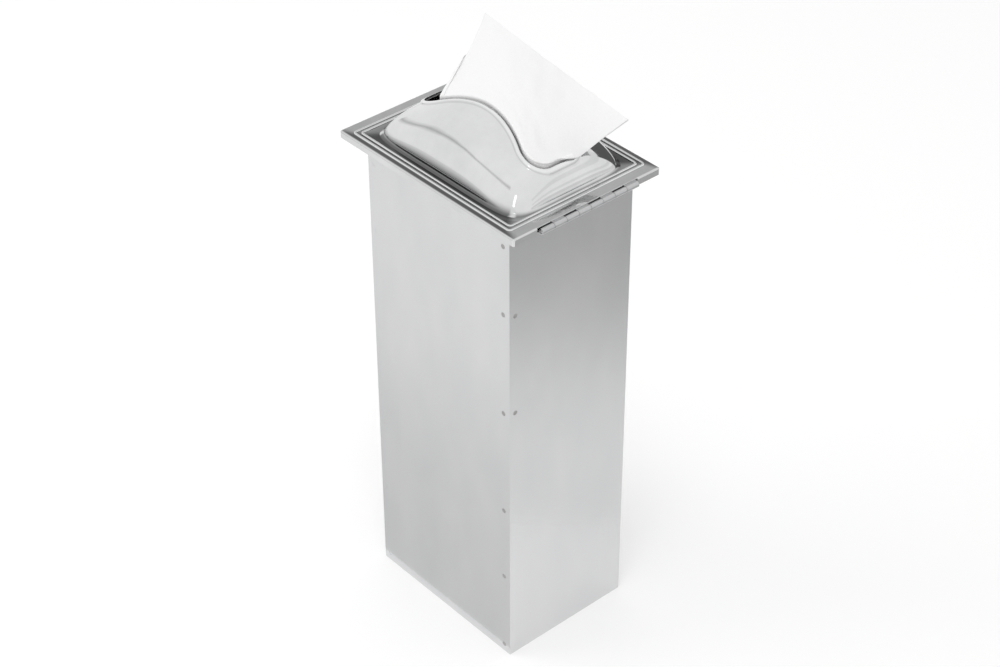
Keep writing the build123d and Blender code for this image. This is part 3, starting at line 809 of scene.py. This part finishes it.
def leaf_threads():
    """Rows of points up the napkin: upright in the slot, then cubic curves laid back."""
    line = drawn_line()
    lips = plate_top + rim_rise + dome_height(line[:, 0], line[:, 1], rim_rise) + bend_gap
    grid = []
    for row in range(leaf_rows + 1):
        up = 2 * row / leaf_rows
        points = []
        for j, ((x, y), lip) in enumerate(zip(line, lips)):
            share = j / leaf_columns
            ease = share**fade
            lip = lip - drop_right * ease
            base = Vector((x, y, lip))
            if up <= 1:
                points.append(Vector((x, y, plate_under + (lip - plate_under) * up)))
                continue
            top = corner_left.lerp(corner_right, share)
            climb = drawn_rise + (rise_right - drawn_rise) * ease
            first = base + lean_right * ease + Vector((0, 0, climb))
            second = (base + top) / 2 + Vector((0, 0, drawn_bow))
            second += sag_left * (1 - share) ** 3 + sag_right * share**3
            t, u = up - 1, 2 - up
            points.append(
                base * u**3 + first * 3 * t * u**2 + second * 3 * t**2 * u + top * t**3
            )
        grid.append(points)
    return grid


def leaf_object(name, lean, seed):
    """The leaf as a mesh: soft creases fade out where the slot holds it."""
    grid = leaf_threads()
    rows, columns = leaf_rows + 1, leaf_columns + 1
    front, back = [], []
    for i in range(rows):
        free = max(2 * i / leaf_rows - 1, 0.0)
        for j in range(columns):
            here = grid[i][j]
            across = grid[i][min(j + 1, columns - 1)] - grid[i][max(j - 1, 0)]
            upward = grid[min(i + 1, rows - 1)][j] - grid[max(i - 1, 0)][j]
            out = across.cross(upward).normalized()
            share = j / (columns - 1)
            soft = noise.noise(Vector((share * 3.1, free * 2.2, seed)))
            fine = noise.noise(Vector((share * 9.0 + free * 3, free * 7.0, seed + 5)))
            crease = soft_crease * soft * min(free * 2.5, 1)
            crease += fine_crease * fine * min(free * 3, 1)
            crease *= 1 - share**6 * (1 - free)
            centre = here + out * (crease + lean * (0.5 + free))
            front.append(centre + out * leaf_thickness / 2)
            back.append(centre - out * leaf_thickness / 2)
    verts = front + back
    offset = len(front)
    faces = []
    for i in range(rows - 1):
        for j in range(columns - 1):
            a, b = i * columns + j, i * columns + j + 1
            c, d = b + columns, a + columns
            faces.append((a, b, c, d))
            faces.append((offset + d, offset + c, offset + b, offset + a))
    rim = list(range(columns))
    rim += [i * columns + columns - 1 for i in range(1, rows)]
    rim += [(rows - 1) * columns + j for j in range(columns - 2, -1, -1)]
    rim += [i * columns for i in range(rows - 2, 0, -1)]
    for a, b in zip(rim, rim[1:] + rim[:1]):
        faces.append((a, offset + a, offset + b, b))
    mesh = bpy.data.meshes.new(name)
    mesh.from_pydata([tuple(p) for p in verts], [], faces)
    obj = bpy.data.objects.new(name, mesh)
    bpy.context.scene.collection.objects.link(obj)
    smooth(obj, 50)
    return obj


drawn_paper = paper("drawn_tissue", (0.86, 0.86, 0.86), (0.90, 0.90, 0.90), 500.0, 0.3)
front_leaf = leaf_object("drawn_napkin_front_leaf", 0.0, 1.0)
back_leaf = leaf_object("drawn_napkin_back_leaf", -0.0008, 1.04)
for napkin_leaf in (front_leaf, back_leaf):
    napkin_leaf.data.materials.append(drawn_paper)
    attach(napkin_leaf, "napkin")
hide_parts("drawn_napkin")
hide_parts("drawn_napkin")

# Floor: a pale sheet of paper under the tank, white to the camera and to the metal, with
# the tank's soft shadow kept.
floor_half = 6.0
floor_mesh = bpy.data.meshes.new("floor_sheet")
floor_mesh.from_pydata(
    [(-floor_half, -floor_half, 0), (floor_half, -floor_half, 0),
     (floor_half, floor_half, 0), (-floor_half, floor_half, 0)],
    [], [(0, 1, 2, 3)],
)
floor = bpy.data.objects.new("floor_sheet", floor_mesh)
bpy.context.scene.collection.objects.link(floor)


def floor_paper():
    """Pale paper with a faint tooth, lifted towards white for camera and mirror rays."""
    material = bpy.data.materials.new("floor_paper")
    shader, add, join = node_tree(material)
    grain = stretched_noise(add, join, (1, 1, 1), 300.0, 3.0)
    tint = spread_over(add, join, grain, 0.0, 1.0)
    colour = blend_colours(add, join, tint, "Result", (0.78, 0.78, 0.78), (0.80, 0.80, 0.80))
    join(colour, "Result", shader, "Base Color")
    shader.inputs["Roughness"].default_value = 1.0
    shader.inputs["Specular IOR Level"].default_value = 0.0
    path = add("ShaderNodeLightPath")
    seen = add("ShaderNodeMath", operation="MAXIMUM")
    join(path, "Is Camera Ray", seen, 0)
    join(path, "Is Glossy Ray", seen, 1)
    both = add("ShaderNodeMath", operation="MAXIMUM")
    join(seen, 0, both, 0)
    join(path, "Is Transmission Ray", both, 1)
    glow = add("ShaderNodeMath", operation="MULTIPLY")
    glow.inputs[1].default_value = 0.26
    join(both, 0, glow, 0)
    shader.inputs["Emission Color"].default_value = (1, 1, 1, 1)
    join(glow, 0, shader, "Emission Strength")
    return material


floor.data.materials.append(floor_paper())

# World and lamps: a white studio. The world is white to the camera, the metal and glass,
# and gives a plain soft fill to everything else.
world = bpy.data.worlds.new("white_studio")
bpy.context.scene.world = world
world.use_nodes = True
world_tree = world.node_tree
background = world_tree.nodes["Background"]
path = world_tree.nodes.new("ShaderNodeLightPath")
seen = world_tree.nodes.new("ShaderNodeMath")
seen.operation = "MAXIMUM"
both = world_tree.nodes.new("ShaderNodeMath")
both.operation = "MAXIMUM"
level = world_tree.nodes.new("ShaderNodeMapRange")
level.inputs["To Min"].default_value = 0.78
level.inputs["To Max"].default_value = 1.0
world_tree.links.new(path.outputs["Is Camera Ray"], seen.inputs[0])
world_tree.links.new(path.outputs["Is Glossy Ray"], seen.inputs[1])
world_tree.links.new(seen.outputs[0], both.inputs[0])
world_tree.links.new(path.outputs["Is Transmission Ray"], both.inputs[1])
world_tree.links.new(both.outputs[0], level.inputs["Value"])
world_tree.links.new(level.outputs["Result"], background.inputs["Strength"])
background.inputs["Color"].default_value = (1, 1, 1, 1)


def lamp(name, place, aim, size, power):
    """A soft square lamp that looks at aim."""
    data = bpy.data.lights.new(name, "AREA")
    data.shape = "SQUARE"
    data.size = size
    data.energy = power
    obj = bpy.data.objects.new(name, data)
    bpy.context.scene.collection.objects.link(obj)
    obj.location = place
    look = Vector(aim) - Vector(place)
    obj.rotation_euler = look.to_track_quat("-Z", "Y").to_euler()
    return obj


key_lamp = lamp("key_lamp", (0.58, -0.67, 2.74), (0, 0, 0.3), 0.7, 12.0)
key_lamp.visible_glossy = False
fill_lamp = lamp("fill_lamp", (-1.6, -1.6, 2.0), (0, 0, 0.3), 1.6, 12.0)
fill_lamp.visible_glossy = False


# Studio cards: grey boards round the table that only shiny metal sees. They give the chrome
# its grey flats at the ends, the faint streak over the dome, the soft bands over its hinge
# end, its bright highlight near the front corner and part of the darker foot of its slopes;
# the dark flats of the long sides and the rest of the foot's darkening are painted shade.
card_middle = Vector((0, 0, 0.454))


def toward(azimuth, elevation, distance):
    """The place in a direction from the faceplate, in degrees and metres."""
    a, e = math.radians(azimuth), math.radians(elevation)
    ray = Vector((math.cos(a) * math.cos(e), math.sin(a) * math.cos(e), math.sin(e)))
    return card_middle + ray * distance


def card_grey(name, grey, other_grey, direction, start, stop):
    """Even light of a card, from one grey to another along a direction."""
    material = bpy.data.materials.new(name)
    shader, add, join = node_tree(material)
    place = add("ShaderNodeTexCoord")
    along = add("ShaderNodeVectorMath", operation="DOT_PRODUCT")
    along.inputs[1].default_value = direction
    join(place, "Object", along, 0)
    span = add("ShaderNodeMapRange", interpolation_type="SMOOTHSTEP")
    span.inputs["From Min"].default_value = start
    span.inputs["From Max"].default_value = stop
    span.inputs["To Min"].default_value = grey
    span.inputs["To Max"].default_value = other_grey
    join(along, "Value", span, "Value")
    join(span, "Result", shader, "Emission Strength")
    shader.inputs["Emission Color"].default_value = (1, 1, 1, 1)
    shader.inputs["Base Color"].default_value = (0, 0, 0, 1)
    shader.inputs["Specular IOR Level"].default_value = 0.0
    return material


def card(name, low_edge, high_edge, material):
    """A card between two rows of places, seen by mirror rays alone."""
    count = len(low_edge)
    faces = [(i, i + 1, count + i + 1, count + i) for i in range(count - 1)]
    mesh = bpy.data.meshes.new(name)
    mesh.from_pydata([tuple(p) for p in (*low_edge, *high_edge)], [], faces)
    mesh.materials.append(material)
    obj = bpy.data.objects.new(name, mesh)
    bpy.context.scene.collection.objects.link(obj)
    obj.visible_camera = False
    obj.visible_diffuse = False
    obj.visible_shadow = False
    obj.visible_transmission = False


def upright_card(name, azimuths, elevations, distance, material):
    """A card curved round the table between two elevations."""
    places = np.linspace(azimuths[0], azimuths[1], 9)
    low_edge = [toward(a, elevations[0], distance) for a in places]
    high_edge = [toward(a, elevations[1], distance) for a in places]
    card(name, low_edge, high_edge, material)


up_z = (0, 0, 1)
dark_grey = card_grey("card_dark_grey", 0.60, 0.60, up_z, 0, 1)
mid_grey = card_grey("card_mid_grey", 0.60, 0.60, up_z, 0, 1)
near_black = card_grey("card_near_black", 0.12, 0.12, up_z, 0, 1)
upright_card("card_back_left", (137.5, 154), (18, 50), 3.0, dark_grey)
upright_card("card_back", (124, 137.5), (20, 50), 3.0, mid_grey)
upright_card("card_back_right", (76, 126), (-8, 30), 2.9, near_black)
low_grey = card_grey("card_low_grey", 0.55, 0.86, up_z, 0.03, 0.44)
upright_card("card_front_low", (-178, -92), (-22, -1), 1.15, low_grey)
streak_line = [
    (-192, 8), (-180, 20), (-165, 31), (-152, 35), (-142, 38), (-133, 47), (-127, 56),
    (-118, 64), (-100, 71), (-80, 74),
]
for name, half_width, grey, distance in (
    ("card_streak_core", 0.9, 0.60, 2.7), ("card_streak_side", 2.0, 0.76, 2.75),
    ("card_streak_edge", 3.4, 0.88, 2.8),
):
    card(
        name,
        [toward(a, e - half_width, distance) for a, e in streak_line],
        [toward(a, e + half_width, distance) for a, e in streak_line],
        card_grey(name + "_grey", grey, grey, up_z, 0, 1),
    )
flash_white = card_grey("card_flash_white", 2.2, 2.2, up_z, 0, 1)
card(
    "card_flash",
    [toward(-61, 43, 2.6), toward(-47, 69, 2.6)],
    [toward(-52, 43, 2.6), toward(-35, 69, 2.6)],
    flash_white,
)
for name, grey, low_side, high_side in (
    ("card_band_low", 0.80, -3, 6), ("card_band_middle", 0.86, 13, 19),
    ("card_band_high", 0.88, 29, 36),
):
    band_grey = card_grey(name + "_grey", grey, grey, up_z, 0, 1)
    upright_card(name, (18, 84), (low_side, high_side), 2.9, band_grey)
# Painted shadow: grey sheets lying on the floor, seen by mirror rays alone, darken the floor in the
# metal's reflections, near the tank in front and farther out beyond the hinge end.
front_floor_shadow = card_grey("card_front_grey", 0.74, 0.97, (0, -1, 0), 0.07, 0.42)
card(
    "card_front_floor",
    [(-0.90, -0.07, 0.002), (0.25, -0.07, 0.002)],
    [(-0.90, -0.70, 0.002), (0.25, -0.70, 0.002)],
    front_floor_shadow,
)
side_floor_shadow = card_grey("card_side_grey", 0.90, 0.49, (0.75, 0.66, 0), 0.30, 0.70)
card(
    "card_side_floor",
    [(0.35, -0.10, 0.002), (1.60, 0.70, 0.002)],
    [(-0.10, 0.40, 0.002), (0.70, 1.60, 0.002)],
    side_floor_shadow,
)

# Camera: the photograph's own place, tilt and lens, from a fit to the corners of the
# tank and the faceplate.
camera_data = bpy.data.cameras.new("photo_camera")
camera_data.lens = 82.9
camera_data.sensor_width = 36.0
camera_data.clip_end = 50.0
camera = bpy.data.objects.new("photo_camera", camera_data)
bpy.context.scene.collection.objects.link(camera)
bpy.context.scene.camera = camera
turn, tilt, roll = math.radians(48.904), math.radians(36.554), math.radians(-0.283)
back = Vector((math.sin(turn) * math.cos(tilt), -math.cos(turn) * math.cos(tilt), math.sin(tilt)))
right = Vector((math.cos(turn), math.sin(turn), 0))
up = back.cross(right)
rolled_right = right * math.cos(roll) + up * math.sin(roll)
rolled_up = up * math.cos(roll) - right * math.sin(roll)
camera.matrix_world = Matrix.Translation((1.17849, -1.02788, 1.43018)) @ Matrix(
    (rolled_right, rolled_up, back)
).transposed().to_4x4()

bpy.context.scene.view_settings.view_transform = "Standard"
